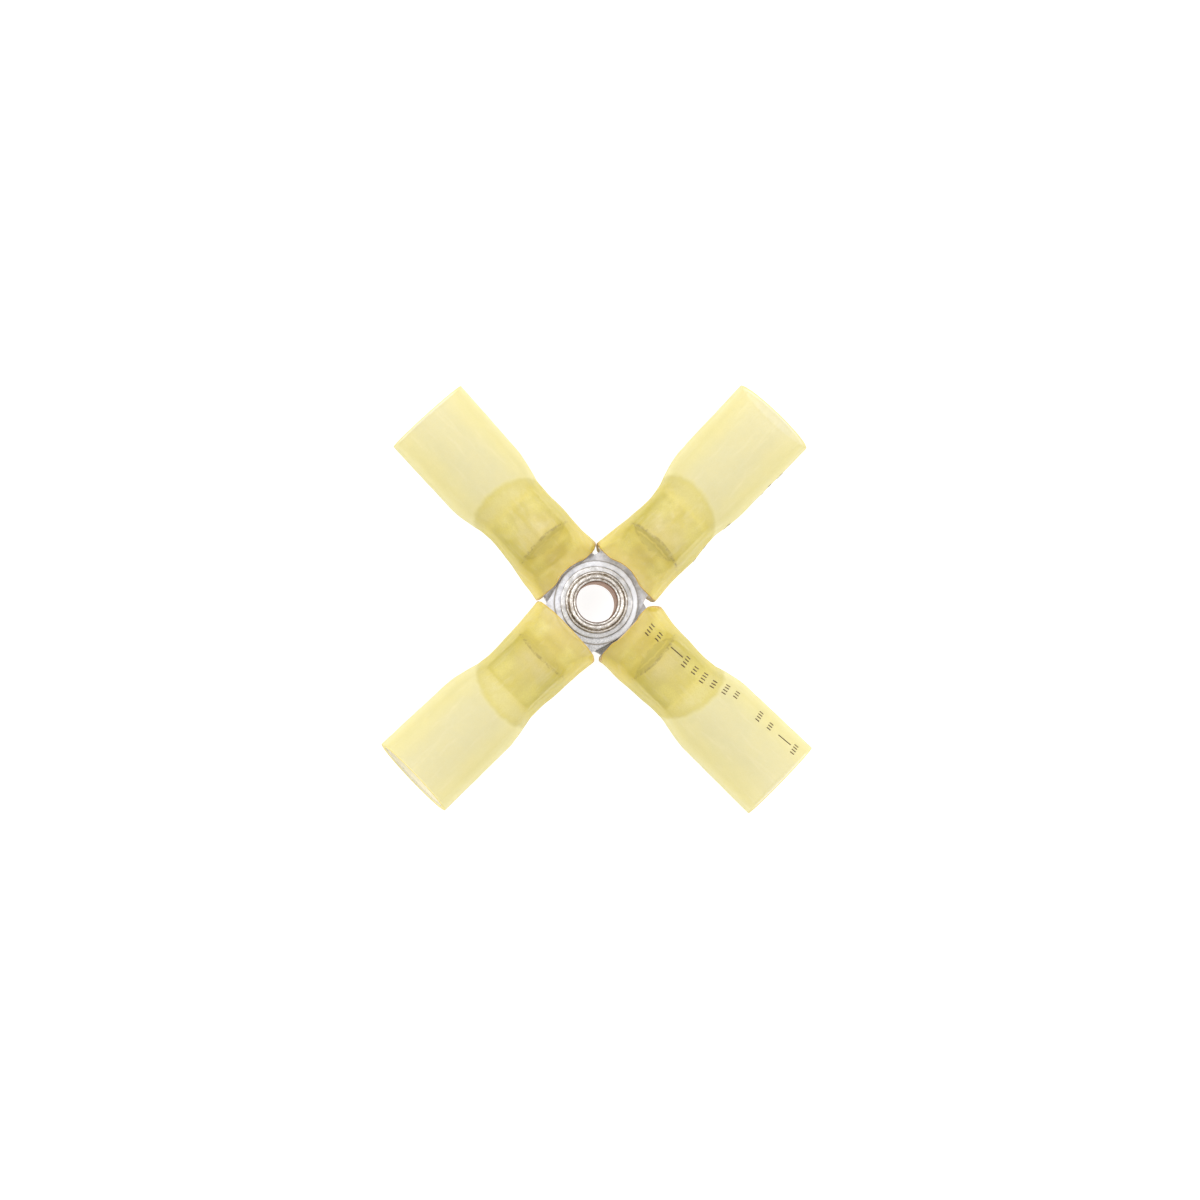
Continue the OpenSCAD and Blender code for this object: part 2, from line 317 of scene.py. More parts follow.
def spread(tree, value, low, high, to_low=0.0, to_high=1.0):
    """value from low to high, eased, as to_low to to_high."""
    inputs = {0: value, 1: low, 2: high, 3: to_low, 4: to_high}
    return node(tree, "MapRange", inputs, interpolation_type="SMOOTHSTEP").outputs[0]


def blend(tree, share, a, b, kind="MIX"):
    inputs = {0: share, 6: a, 7: b}
    return node(tree, "Mix", inputs, data_type="RGBA", blend_type=kind).outputs[2]


def ramp(tree, value, stops, low, high):
    """Colour along value from low to high, through stops of (value, colour)."""
    share = node(tree, "MapRange", {0: value, 1: low, 2: high, 3: 0.0, 4: 1.0}).outputs[0]
    made = node(tree, "ValToRGB", {0: share})
    elements = made.color_ramp.elements
    for i, (at, colour) in enumerate(stops):
        place = (at - low) / (high - low)
        element = elements[i] if i < 2 else elements.new(place)
        element.position = place
        element.color = colour
    return made.outputs[0]


def times(tree, a, b):
    return maths(tree, "MULTIPLY", a, b)


def less(tree, a, b):
    return maths(tree, "SUBTRACT", a, b)


def scale_add(tree, a, by, plus):
    return maths(tree, "MULTIPLY_ADD", a, by, plus)


def absolute(tree, a):
    return maths(tree, "ABSOLUTE", a)


def parts(tree, vector):
    """A vector's three numbers."""
    return node(tree, "SeparateXYZ", {0: vector}).outputs


def turn_of(tree):
    """A sleeve's turn: how far beside and above its axis a spot is, and the arm's hollow."""
    return parts(tree, node(tree, "Attribute", attribute_name="turn").outputs["Vector"])


def wander_of(tree, place, scale):
    """A slow drift of up to a quarter of a millimetre either way."""
    return scale_add(tree, noise(tree, place, scale, 3.0), 0.5, -0.25)


def curved(tree, along, y_squared, start, bow):
    """How far past start a spot is along the arm, where start is bowed by its distance to the side."""
    return scale_add(tree, y_squared, bow, less(tree, along, start))


def hill(tree, value, rise, fall):
    """0, 1 from the end of rise to the start of fall, and 0 again; each is a pair of values."""
    return times(tree, spread(tree, value, *rise), spread(tree, value, *fall, 1.0, 0.0))


def stripe(tree, value, full, none):
    """1 where value is within full of 0, and 0 where it is further from it than none."""
    return spread(tree, absolute(tree, value), full, none, 1.0, 0.0)


def tint(tree, colour, share, strength, paint):
    """colour with paint over it, as densely as share times strength."""
    return blend(tree, times(tree, share, strength), colour, srgb(*paint))


def add_bump(tree, shader, height, strength, distance_mm):
    inputs = {"Height": height, "Strength": strength, "Distance": distance_mm * MM}
    if shader.inputs["Normal"].links:
        inputs["Normal"] = shader.inputs["Normal"].links[0].from_socket
    bumped = node(tree, "Bump", inputs)
    tree.links.new(bumped.outputs[0], shader.inputs["Normal"])


# Colours of a sleeve's skin along it: over its middle, with the tongue's painted shade and a painted
# highlight off the barrel near 8.8 mm, and on its flanks, painted lighter as if lit through
SKIN = [
    (3.9, (220, 194, 78)), (5.2, (230, 207, 92)), (6.4, (230, 208, 92)), (7.6, (227, 207, 100)),
    (8.8, (234, 216, 130)), (10.4, (228, 211, 106)), (12.3, (229, 213, 98)),
]
FLANK = [
    (3.9, (248, 227, 90)), (6.8, (238, 218, 76)), (8.4, (226, 210, 76)), (10.4, (226, 210, 80)),
    (12.3, (230, 215, 92)),
]
MELTED, MELT_LINE = (228, 217, 132), (218, 206, 96)
FROSTED, FROSTED_FLANK = (219, 212, 165), (240, 231, 164)
# painted shade in the hollow and on its edge, a painted highlight on the crease, and painted shade
# along the barrel's rim
OLIVE_SHADE, OLIVE_SHADE_EDGE, CREASE_HIGHLIGHT, RIM_SHADE_LINE = (180, 168, 66), (146, 134, 54), (236, 214, 100), (140, 124, 58)
CLOUDED, SPECKLED, STREAKED = (218, 198, 100), (188, 170, 92), (252, 243, 205)
# painted light beside the ridges of the tongue and of the barrel
SHOULDER_LIGHT = (255, 240, 128)


def skin_ramp(tree, along, stops):
    """Colour along the arm through SKIN or FLANK."""
    colours = [(at, srgb(*colour)) for at, colour in stops]
    return ramp(tree, along, colours, stops[0][0], stops[-1][0])


def sleeve_skin(name, alpha, mottle):
    """Translucent yellow polyolefin: pale and frosted towards the mouth, deeper where it has shrunk
    onto the melted lining, with painted olive shade in the hollow in front of the barrel, the
    tongue's shade and a highlight off the barrel painted over its middle, and painted light on its
    flanks and shoulders; alpha is its opacity and mottle how strongly it is clouded."""
    material, tree, shader = new_material(name, Specular_IOR_Level=0.35, IOR=1.5)
    place = spot_of(tree)
    x, y, _ = parts(tree, place)
    beside, above, hollow = turn_of(tree)
    cloud = noise(tree, place, 0.55, 3.0)
    fine = noise(tree, place, 9.0, 3.0, 0.7)
    drawn = noise(tree, place, 1.6, 3.0, 0.6, (0.18, 1.0, 1.0))
    along = maths(tree, "ADD", x, wander_of(tree, place, 1.3))
    y_squared = times(tree, y, y)
    top = spread(tree, above, 0.1, 0.4)

    # painted shade: the middle is darker where the tongue lies under it in the skirt, with sharp sides,
    # and further on it fades out sideways; the flanks are painted lighter, as if lit through
    tongue_side = less(tree, absolute(tree, y), scale_add(tree, x, -0.33, 4.5))
    tongue_shade = times(tree, spread(tree, tongue_side, -0.12, 0.18, 1.0, 0.0), top)
    tongue_shade = times(tree, tongue_shade, spread(tree, absolute(tree, beside), 0.15, 0.75, 1.0, 0.6))
    mid_wall = stripe(tree, beside, 0.25, 0.9)
    onward = spread(tree, x, 6.4, 7.4)
    middle = node(tree, "Mix", {0: onward, 2: tongue_shade, 3: mid_wall}).outputs[0]
    core, flank = skin_ramp(tree, along, SKIN), skin_ramp(tree, along, FLANK)
    colour = blend(tree, middle, flank, core)

    # painted light: lighter shoulders beside the ridges of the tongue and of the barrel
    shoulder = hill(tree, absolute(tree, beside), (0.2, 0.45), (0.6, 0.85))
    on_tongue = hill(tree, x, (4.9, 5.5), (6.6, 7.1))
    on_barrel = hill(tree, x, (9.4, 10.6), (11.7, 12.4))
    shoulder = times(tree, shoulder, maths(tree, "ADD", on_tongue, on_barrel))
    colour = tint(tree, colour, shoulder, 0.62, SHOULDER_LIGHT)

    # past the barrel the lining is melted up to its front, and frosted from there on
    step = curved(tree, along, y_squared, END_STEP_X, -0.04)
    colour = blend(tree, spread(tree, step, -0.7, 0.8), colour, srgb(*MELTED))
    past = front_of(tree, place, above, hollow)
    colour = tint(tree, colour, hill(tree, past, (-0.7, -0.1), (-0.05, 0.2)), 0.3, MELT_LINE)
    pale = blend(tree, mid_wall, srgb(*FROSTED_FLANK), srgb(*FROSTED))
    colour = blend(tree, spread(tree, past, -0.25, 0.45), colour, pale)

    # painted shade: olive in the hollow in front of the barrel's rim, with a painted dark edge of shade
    # and a painted highlight on the crease
    hollow_x = curved(tree, along, y_squared, HOLLOW_X, -0.04)
    hollow_half = scale_add(tree, y_squared, -0.09, HOLLOW_HALF)
    lens = less(tree, absolute(tree, hollow_x), hollow_half)
    shown = times(tree, top, hollow)
    dip_shade = times(tree, spread(tree, lens, -0.25, 0.1, 1.0, 0.0), shown)
    colour = tint(tree, colour, dip_shade, 0.6, OLIVE_SHADE)
    shade_brink = times(tree, stripe(tree, lens, 0.02, 0.16), shown)
    shade_brink = times(tree, shade_brink, spread(tree, noise(tree, place, 1.7, 3.0), 0.4, 0.6))
    colour = tint(tree, colour, shade_brink, 0.42, OLIVE_SHADE_EDGE)
    rim_x = curved(tree, along, y_squared, RIM_LINE_X, 0.05)
    crease = stripe(tree, maths(tree, "ADD", rim_x, 0.5), 0.05, 0.14)
    colour = tint(tree, colour, times(tree, crease, dip_shade), 0.8, CREASE_HIGHLIGHT)

    # painted shade: the barrel's rim shows through as a broken dark line
    dotted = spread(tree, noise(tree, place, 2.4, 4.0, 0.75), 0.42, 0.62)
    rim = times(tree, stripe(tree, rim_x, 0.05, 0.2), dotted)
    rim = times(tree, rim, spread(tree, above, 0.4, 0.7, 0.0, 0.7))
    colour = blend(tree, rim, colour, srgb(*RIM_SHADE_LINE))

    shade = spread(tree, scale_add(tree, cloud, 0.6, times(tree, fine, 0.4)), 0.3, 0.7)
    colour = tint(tree, colour, shade, mottle, CLOUDED)
    speckle = times(tree, spread(tree, fine, 0.38, 0.62), spread(tree, past, -0.5, 0.3, 0.3, 0.12))
    colour = blend(tree, speckle, colour, srgb(*SPECKLED))
    colour = tint(tree, colour, spread(tree, drawn, 0.52, 0.75), 0.14, STREAKED)
    tree.links.new(colour, shader.inputs["Base Color"])
    tree.links.new(spread(tree, cloud, 0.3, 0.7, 0.46, 0.6), shader.inputs["Roughness"])

    # denser where it is frosted, and on the flanks, where the wall is seen edge on
    frosted = spread(tree, past, -0.1, 0.3, alpha, alpha + 0.08)
    edge_on = spread(tree, absolute(tree, beside), 0.75, 1.0, 0.0, 0.32 * alpha)
    density = maths(tree, "ADD", frosted, edge_on)
    density = maths(tree, "MULTIPLY_ADD", shade, 0.06, density, clamp=True)
    tree.links.new(density, shader.inputs["Alpha"])
    add_bump(tree, shader, drawn, 0.3, 0.04)
    add_bump(tree, shader, fine, 0.25, 0.015)
    return material


def cut_edge(name, inner, mouth, alpha):
    """The cut ends of a tube: deep in colour at the shrunk inner end and pale at the mouth."""
    material, tree, shader = new_material(name, Alpha=alpha, Specular_IOR_Level=0.3)
    place = spot_of(tree)
    x = parts(tree, place)[0]
    patch = spread(tree, noise(tree, place, 3.0, 3.0, 0.6), 0.35, 0.65)
    deep = tuple(c * 0.88 for c in inner[:3]) + (1.0,)
    colour = blend(tree, spread(tree, x, 12.0, 20.0), blend(tree, patch, inner, deep), mouth)
    tree.links.new(colour, shader.inputs["Base Color"])
    tree.links.new(spread(tree, patch, 0, 1, 0.45, 0.65), shader.inputs["Roughness"])
    add_bump(tree, shader, noise(tree, place, 7.0), 0.3, 0.03)
    return material


def front_of(tree, place, above, hollow):
    """How far past the melt front a spot is: below 0 the adhesive has melted clear, above it is
    frosted. A sleeve with a deeper hollow has less adhesive left to melt outwards."""
    x, y, _ = parts(tree, place)
    lift = maths(tree, "POWER", absolute(tree, above), FRONT_POWER)
    reach = scale_add(tree, hollow, -0.6, FRONT_X)
    front = maths(tree, "ADD", scale_add(tree, lift, FRONT_LIFT, reach), wander_of(tree, place, 1.1))
    return less(tree, scale_add(tree, y, -0.13, x), front)


def adhesive(name, clear, frosted, lip):
    """Hot-melt lining: clear where it has melted onto the barrel, milky where it has not, and densest
    low in the mouth; the numbers are its opacity there."""
    material, tree, shader = new_material(name, Specular_IOR_Level=0.4, IOR=1.48)
    place = spot_of(tree)
    _, above, hollow = turn_of(tree)
    past = front_of(tree, place, above, hollow)
    milky = spread(tree, past, -0.3, 0.5)
    bead = hill(tree, past, (-0.9, -0.15), (-0.05, 0.2))
    grain = noise(tree, place, 6.0, 4.0, 0.65)
    colour = blend(tree, milky, srgb(226, 207, 122), srgb(250, 243, 214))
    colour = tint(tree, colour, bead, 0.5, (208, 192, 110))
    colour = blend(tree, spread(tree, grain, 0.35, 0.7, 0.0, 0.35), colour, srgb(240, 228, 176))
    density = spread(tree, milky, 0, 1, clear, frosted)
    density = maths(tree, "ADD", density, times(tree, bead, 0.12), clamp=True)
    x = parts(tree, place)[0]
    underneath = spread(tree, above, -0.25, 0.05, 1.0, 0.0)
    low_lip = times(tree, spread(tree, x, *LOW_LIP_X), underneath)
    colour = blend(tree, low_lip, colour, srgb(253, 246, 220))
    density = maths(tree, "MAXIMUM", density, times(tree, low_lip, lip))
    tree.links.new(colour, shader.inputs["Base Color"])
    tree.links.new(density, shader.inputs["Alpha"])
    tree.links.new(spread(tree, milky, 0, 1, 0.3, 0.62), shader.inputs["Roughness"])
    add_bump(tree, shader, grain, 0.3, 0.03)
    return material


def radius_squared(tree, x, y):
    return scale_add(tree, x, x, times(tree, y, y))


def tinned(name, place_of, light, dark, warm, warmth=0.15, rough=(0.3, 0.5)):
    """Tin plate: mottled, lightly scratched, warmer where the plating is thin, with painted shade
    towards the corner of the stack between the south and west arms, a painted highlight just inside
    EDGE_R and a painted line of shade just outside it."""
    material, tree, shader = new_material(name, Metallic=1.0)
    place = place_of(tree)
    x, y, _ = parts(tree, place)
    # painted shade: darker and mottled towards the corner of the stack between the south and west arms
    corner_shade = spread(tree, maths(tree, "ADD", x, y), -5.6, -2.4, 0.85, 0.0)
    blotch = noise(tree, place, 1.3, 4.0, 0.62)
    grain = noise(tree, place, 11.0, 3.0, 0.7)
    scratch = noise(tree, place, 3.0, 2.0, 0.5, (0.25, 5.0, 1.0))
    colour = blend(tree, spread(tree, blotch, 0.36, 0.64), srgb(*light), srgb(*dark))
    colour = blend(tree, spread(tree, grain, 0.45, 0.75, 0.0, 0.4), colour, srgb(*dark))
    stain = spread(tree, noise(tree, place, 0.8, 5.0, 0.7), 0.5, 0.72, 0.0, warmth)
    colour = blend(tree, stain, colour, srgb(*warm))
    colour = blend(tree, spread(tree, scratch, 0.68, 0.76, 0.0, 0.5), colour, srgb(250, 250, 252))
    # the painted shade's mottled greys
    shaded_speckle = blend(tree, spread(tree, grain, 0.4, 0.62), srgb(206, 204, 202), srgb(150, 150, 150))
    colour = blend(tree, corner_shade, colour, shaded_speckle)
    far = radius_squared(tree, x, y)
    off_edge = less(tree, maths(tree, "SQRT", far), EDGE_R)
    edge = scale_add(tree, blotch, 0.1, off_edge)
    # painted highlight on the rings' rounded edges, just inside EDGE_R, stronger towards +X and -Y and
    # kept out of the painted shade
    wear_and_highlight = hill(tree, edge, (-0.42, -0.3), (-0.06, 0.0))
    wear_and_highlight = times(tree, wear_and_highlight, spread(tree, less(tree, x, y), -4.5, 3.0, 0.05, 0.4))
    wear_and_highlight = times(tree, wear_and_highlight, less(tree, 1.0, corner_shade))
    colour = blend(tree, wear_and_highlight, colour, srgb(252, 251, 251))
    # painted shade: a dark line just outside the rings' edges, between the stacked rings
    colour = tint(tree, colour, hill(tree, edge, (-0.02, 0.05), (0.12, 0.2)), 0.75, (122, 112, 96))
    tree.links.new(colour, shader.inputs["Base Color"])
    rough_far = spread(tree, far, 20.0, 34.0, 0.0, 0.3)
    roughness = maths(tree, "ADD", spread(tree, blotch, 0.3, 0.7, *rough), rough_far)
    tree.links.new(roughness, shader.inputs["Roughness"])
    add_bump(tree, shader, blotch, 0.4, 0.03)
    add_bump(tree, shader, grain, 0.25, 0.02)
    return material


def rolled_tin(name):
    """The rivet: tin worn through in rings, brown where the rolled lip is creased and in the hole."""
    material, tree, shader = new_material(name, Metallic=1.0)
    place = spot_of(tree)
    x, y, z = parts(tree, place)
    radius = maths(tree, "SQRT", radius_squared(tree, x, y))
    blotch = noise(tree, place, 2.2, 4.0, 0.65)
    grain = noise(tree, place, 8.0, 4.0, 0.75)
    wander = scale_add(tree, blotch, 0.24, less(tree, radius, 0.12))
    wander = scale_add(tree, grain, 0.1, less(tree, wander, 0.05))
    colour = blend(tree, spread(tree, blotch, 0.38, 0.62), srgb(232, 228, 224), srgb(196, 190, 184))
    colour = blend(tree, spread(tree, grain, 0.44, 0.6, 0.0, 0.62), colour, srgb(150, 138, 122))
    up_high = spread(tree, z, SEAT_Z - 0.1, SEAT_Z + 0.1)
    for centre, half, strength in WORN_RINGS:
        line = stripe(tree, less(tree, wander, centre), half * 0.3, half)
        patchy = spread(tree, noise(tree, place, 1.1 + centre, 3.0), 0.38, 0.6, 0.25, 1.0)
        share = times(tree, times(tree, line, patchy), times(tree, up_high, strength))
        colour = blend(tree, share, colour, srgb(118, 94, 56))
    inside = spread(tree, wander, BORE_R + 0.02, BORE_R + 0.11, 1.0, 0.0)
    drawn = noise(tree, place, 2.4, 3.0, 0.6, (0.45, 0.45, 3.0))
    copper = blend(tree, spread(tree, drawn, 0.32, 0.68), srgb(188, 140, 104), srgb(134, 96, 66))
    colour = blend(tree, inside, colour, copper)
    tree.links.new(colour, shader.inputs["Base Color"])
    tree.links.new(spread(tree, blotch, 0.3, 0.7, 0.38, 0.56), shader.inputs["Roughness"])
    add_bump(tree, shader, blotch, 0.5, 0.04)
    add_bump(tree, shader, grain, 0.3, 0.02)
    return material


def braze_metal(name):
    """Braze: a dull warm grey metal that has flowed along the seam."""
    material, tree, shader = new_material(name, Metallic=1.0)
    place = spot_of(tree)
    flow = noise(tree, place, 4.0, 3.0, 0.6, (0.5, 1.0, 1.0))
    colour = blend(tree, flow, srgb(206, 200, 188), srgb(160, 150, 132))
    tree.links.new(colour, shader.inputs["Base Color"])
    tree.links.new(spread(tree, flow, 0.3, 0.7, 0.5, 0.7), shader.inputs["Roughness"])
    add_bump(tree, shader, flow, 0.4, 0.03)
    return material


def ink(name):
    """Printer's ink, dark brown and worn through in places."""
    material, tree, shader = new_material(name, Specular_IOR_Level=0.3)
    place = spot_of(tree)
    wear_and_highlight = noise(tree, place, 5.0, 3.0, 0.7)
    colour = blend(tree, spread(tree, wear_and_highlight, 0.35, 0.7), srgb(72, 56, 40), srgb(118, 96, 62))
    tree.links.new(colour, shader.inputs["Base Color"])
    tree.links.new(spread(tree, wear_and_highlight, 0.3, 0.7, 0.5, 0.8), shader.inputs["Roughness"])
    return material


JACKET_SKIN = sleeve_skin("jacket_skin", 0.5, 0.12)
JACKET_INSIDE = sleeve_skin("jacket_inside", 0.1, 0.1)
JACKET_EDGE = cut_edge("jacket_edge", srgb(228, 192, 96), srgb(240, 224, 136), 0.8)
LINER_SKIN = adhesive("liner_skin", 0.08, 0.14, 0.1)
LINER_INSIDE = adhesive("liner_inside", 0.22, 0.5, 0.92)
LINER_EDGE = cut_edge("liner_edge", srgb(240, 228, 206), srgb(248, 240, 214), 0.7)
TERMINAL_TIN = tinned(
    "terminal_tin", object_mm, (226, 225, 229), (188, 188, 192), (176, 158, 128)
)
WASHER_TIN = tinned(
    "washer_tin", spot_of, (224, 222, 222), (180, 178, 176), (150, 134, 108), 0.3
)
RIVET_TIN = rolled_tin("rivet_tin")
BRAZE = braze_metal("braze")
INK = ink("print_ink")


# ---- sleeves ----
COLUMNS = 112
SKIRT_ROWS = 26
ROW_STEP = 0.24
RIM_ROUND = 0.07


def liner_wall(x, a):
    """How deep in the sleeve the liner's inner face lies."""
    x = np.asarray(x, float)
    front = LINER_FRONT_X + FRONT_LIFT * np.abs(np.sin(a)) ** FRONT_POWER
    thin = 0.05 * smooth((front - x) / 0.5) * smooth((x - BARREL_END) / 0.6)
    free = JACKET_T + LINER_T - thin
    on_barrel = sleeve_r(x) - (BARREL_R + 0.004)
    held = smooth((x - 7.7) / 0.9)
    wall = np.where(x < BARREL_END, mix(free, on_barrel, held), free)
    return np.minimum(wall, on_barrel + 10 * (1 - held))


def wall_shell(arm, outer, inner, x_end, shift=0.0):
    """Closed wall of a sleeve between two depths, which are functions of x and the angle, up to x_end;
    shift moves the start of its lip. Returns its points, its faces, each face's slot (0 outside,
    1 inside, 2 cut ends) and its points' turns."""
    angles = (np.arange(COLUMNS) + 0.5) * TAU / COLUMNS
    corner = smooth((np.abs(np.cos(angles)) - 0.55) / 0.4)
    uneven = ripple(angles * 3, angles * 0, arm["seed"], ((1.0, 0), (2.3, 0), (4.1, 0)))
    ragged = (0.03 + 0.03 * corner) * uneven
    starts = []
    for depth in (outer, inner):
        at = [first_x(arm, a, float(depth(LIP_X + 0.4, a)), shift) for a in angles]
        starts.append(np.array(at) + ragged + 0.03 + 0.08 * corner)
    end_x = x_end - arm["slant"] * (0.5 + 0.5 * np.sin(angles))
    far = np.arange(SKIRT_X + ROW_STEP, x_end - arm["slant"] - RIM_ROUND - 0.05, ROW_STEP)
    rows = []

    def side(start, depth, sign):
        skirt = [mix(start + RIM_ROUND, SKIRT_X, i / SKIRT_ROWS) for i in range(SKIRT_ROWS + 1)]
        xs = skirt + [np.full(COLUMNS, x) for x in far] + [end_x - RIM_ROUND]
        return [(x, depth(x, angles) + 0 * x) for x in (xs if sign > 0 else xs[::-1])]

    def rim(x, depth_a, depth_b, out):
        """Four rows that round an end over, from depth_a to depth_b; out is the way the end faces."""
        inset = RIM_ROUND * (1 - math.sqrt(0.5))
        toward = np.sign(depth_b - depth_a)
        return [
            (x - out * inset, depth_a + toward * inset),
            (x, depth_a + toward * RIM_ROUND),
            (x, depth_b - toward * RIM_ROUND),
            (x - out * inset, depth_b - toward * inset),
        ]

    rows += side(starts[0], outer, 1)
    n_outer = len(rows)
    rows += rim(end_x, outer(end_x, angles) + 0 * end_x, inner(end_x, angles) + 0 * end_x, 1)
    n_mouth = len(rows)
    rows += side(starts[1], inner, -1)
    n_inner = len(rows)
    begin = 0.5 * (starts[0] + starts[1])
    rows += rim(begin, inner(begin, angles) + 0 * begin, outer(begin, angles) + 0 * begin, -1)
    points = []
    for x, wall in rows:
        y, z = sleeve_point(arm, x, angles, wall)
        points.append(np.stack([x, y, z], 1))
    turn = np.stack([np.cos(angles), np.sin(angles), np.full(COLUMNS, arm["hollow"])], 1)
    faces = tube_faces(len(rows), COLUMNS, True)
    slots = []
    for i in range(len(rows)):
        kind = 2
        if i < n_outer - 1:
            kind = 0
        elif n_mouth <= i < n_inner - 1:
            kind = 1
        slots += [kind] * COLUMNS
    return np.concatenate(points), faces, slots, np.tile(turn, (len(rows), 1))


for arm_name, arm in ARMS.items():
    points, faces, slots, turn = wall_shell(
        arm, lambda x, a: 0.0 * x, lambda x, a: JACKET_T - 0.01 + 0.0 * x, arm["mouth"] - 0.01
    )
    make_piece(
        "sleeve_jacket_" + arm_name, points, faces, "arm_" + arm_name, arm,
        ["shrink_sleeve_" + arm_name], [JACKET_SKIN, JACKET_INSIDE, JACKET_EDGE], slots, turn,
    )
    points, faces, slots, turn = wall_shell(
        arm, lambda x, a: JACKET_T + 0.01 + 0.0 * x, liner_wall, arm["mouth"] - 0.2, -0.05
    )
    make_piece(
        "sleeve_liner_" + arm_name, points, faces, "arm_" + arm_name, arm,
        ["adhesive_liner_" + arm_name], [LINER_SKIN, LINER_INSIDE, LINER_EDGE], slots, turn,
    )


# ---- braze beads in the barrels' butt seams ----
def seam_bead(arm_name):
    """A thin strip through the barrel's wall, crowned a little above it, with a wandering crest."""
    seed = ARMS[arm_name]["seed"]
    half, foot_half = 0.19, 0.15
    shoulder = math.sqrt(BARREL_R**2 - half**2)
    foot = [(foot_half, 2.2), (foot_half, 1.72), (0.0, 1.71), (-foot_half, 1.72), (-foot_half, 2.2)]
    xs = np.linspace(RIM_TOP_X + 0.06, BARREL_END - 0.06, 44)
    ts = np.linspace(0, 1, 9)
    points = []
    for x in xs:
        wander = 0.02 * math.sin(3.1 * x + seed) + 0.012 * math.sin(7.7 * x - seed)
        high = 0.055 + 0.02 * math.sin(2.3 * x + 2 * seed)
        crown = [(half * (2 * t - 1) + wander, shoulder + high * math.sin(math.pi * t)) for t in ts]
        points += [(x, y, BARREL_R + r) for y, r in crown + foot]
    count = len(ts) + len(foot)
    faces = tube_faces(len(xs), count, False)
    faces.append(tuple(range(count)))
    faces.append(tuple(range(len(points) - 1, len(points) - 1 - count, -1)))
    return points, faces


for arm_name in ARMS:
    points, faces = seam_bead(arm_name)
    make_piece(
        "seam_bead_" + arm_name, points, faces, "arm_" + arm_name, ARMS[arm_name],
        ["seam_braze_" + arm_name], [BRAZE],
    )


# ---- rivet and washer: turned profiles, not quite true ----
def arc(r, z, radius, start, stop, steps):
    """Points of a round in a turned profile."""
    turns = [math.radians(mix(start, stop, i / steps)) for i in range(steps + 1)]
    return [(r + radius * math.cos(t), z + radius * math.sin(t)) for t in turns]


def straight(start, stop, steps):
    """Points between the two ends of a straight in a turned profile."""
    shares = [i / steps for i in range(1, steps)]
    return [(mix(start[0], stop[0], t), mix(start[1], stop[1], t)) for t in shares]


def turned(profile, wobble, columns=240):
    """Turns a profile of (radius, height) about Z; wobble(r, z, a) gives each point's shift."""
    points = []
    for r, z in profile:
        for k in range(columns):
            a = k * TAU / columns
            dr, dz = wobble(r, z, a)
            points.append(((r + dr) * math.cos(a), (r + dr) * math.sin(a), z + dz))
    return points, tube_faces(len(profile), columns, True)


def rivet_wobble(r, z, a):
    """The rolled lip wanders a little; the hole, the tube and the head stay true."""
    lip = float(smooth((z - SEAT_Z - 0.04) / 0.3) * smooth((r - BORE_R - 0.05) / 0.2))
    wave = 0.5 * math.sin(2 * a + 0.7) + 0.3 * math.sin(5 * a + 2.1) + 0.2 * math.sin(11 * a)
    nick = 0.4 * math.sin(23 * a + 5 * r) * math.sin(9 * a)
    return -0.022 * lip * (1 + wave), -0.02 * lip * (1 + wave * 0.5 + nick)


BELL, CREST_Z = 0.3, SEAT_Z + LIP_H
rivet_profile = (
    arc(BORE_R + BELL, CREST_Z - 0.1 - BELL, BELL, 90, 180, 8)
    + straight((BORE_R, CREST_Z - 0.4), (BORE_R, BELL - HEAD_T), 10)
    + arc(BORE_R + BELL, BELL - HEAD_T, BELL, 180, 270, 8)
    + arc(HEAD_R - HEAD_T / 2, -HEAD_T / 2, HEAD_T / 2, -90, 90, 12)
    + [(RIVET_R, 0.0), (RIVET_R, SEAT_Z), (LIP_R - 0.06, SEAT_Z)]
    + arc(LIP_R - 0.16, SEAT_Z + 0.18, 0.16, 0, 140, 10)
    + arc(BORE_R + BELL + 0.24, CREST_Z - 0.26, 0.26, 20, 160, 14)
)
rivet_points, rivet_faces = turned(rivet_profile, rivet_wobble)
make_piece(
    "rivet_shell", rivet_points, rivet_faces, "rivet", None, ["hollow_rivet"], [RIVET_TIN]
)

washer_low = STACK_TOP + 0.02
washer_profile = (
    [(RIVET_R, washer_low), (RIVET_R, washer_low + WASHER_T)]
    + straight((RIVET_R, washer_low + WASHER_T), (WASHER_R - 0.1, washer_low + WASHER_T), 4)
    + arc(WASHER_R - 0.1, washer_low + WASHER_T - 0.1, 0.1, 90, 0, 6)
    + arc(WASHER_R - 0.06, washer_low + 0.06, 0.06, 0, -90, 4)
)
washer_points, washer_faces = turned(
    washer_profile, lambda r, z, a: (-0.02 * (r > 3) * (1 + math.sin(3 * a + 1.0)), 0.0)
)
make_piece(
    "washer_plate", washer_points, washer_faces, "rivet", None, ["rivet_washer"],
    [WASHER_TIN],
)

# ---- terminals: the CAD solids, with their stamped edges rounded over ----
STAMPED_ROUND = 0.2 * MM
for arm_name in ARMS:
    terminal = frame["nodes"]["ring_terminal_" + arm_name]
    terminal.data.materials.clear()
    terminal.data.materials.append(TERMINAL_TIN)
    weld = terminal.modifiers.new("weld", "WELD")
    weld.merge_threshold = 0.001 * MM
    soften = terminal.modifiers.new("soften", "BEVEL")
    soften.width = STAMPED_ROUND
    soften.segments = 3
    soften.angle_limit = math.radians(50)
    soften.harden_normals = False


# ---- ink: ticks along the south sleeve and specks down the side of the east one ----
TICK_LONG, TICK_WIDE, TICK_GAP, DASH_LONG = 0.46, 0.12, 0.37, 1.5
INK_FOOT, INK_TOP = 0.004, 0.02


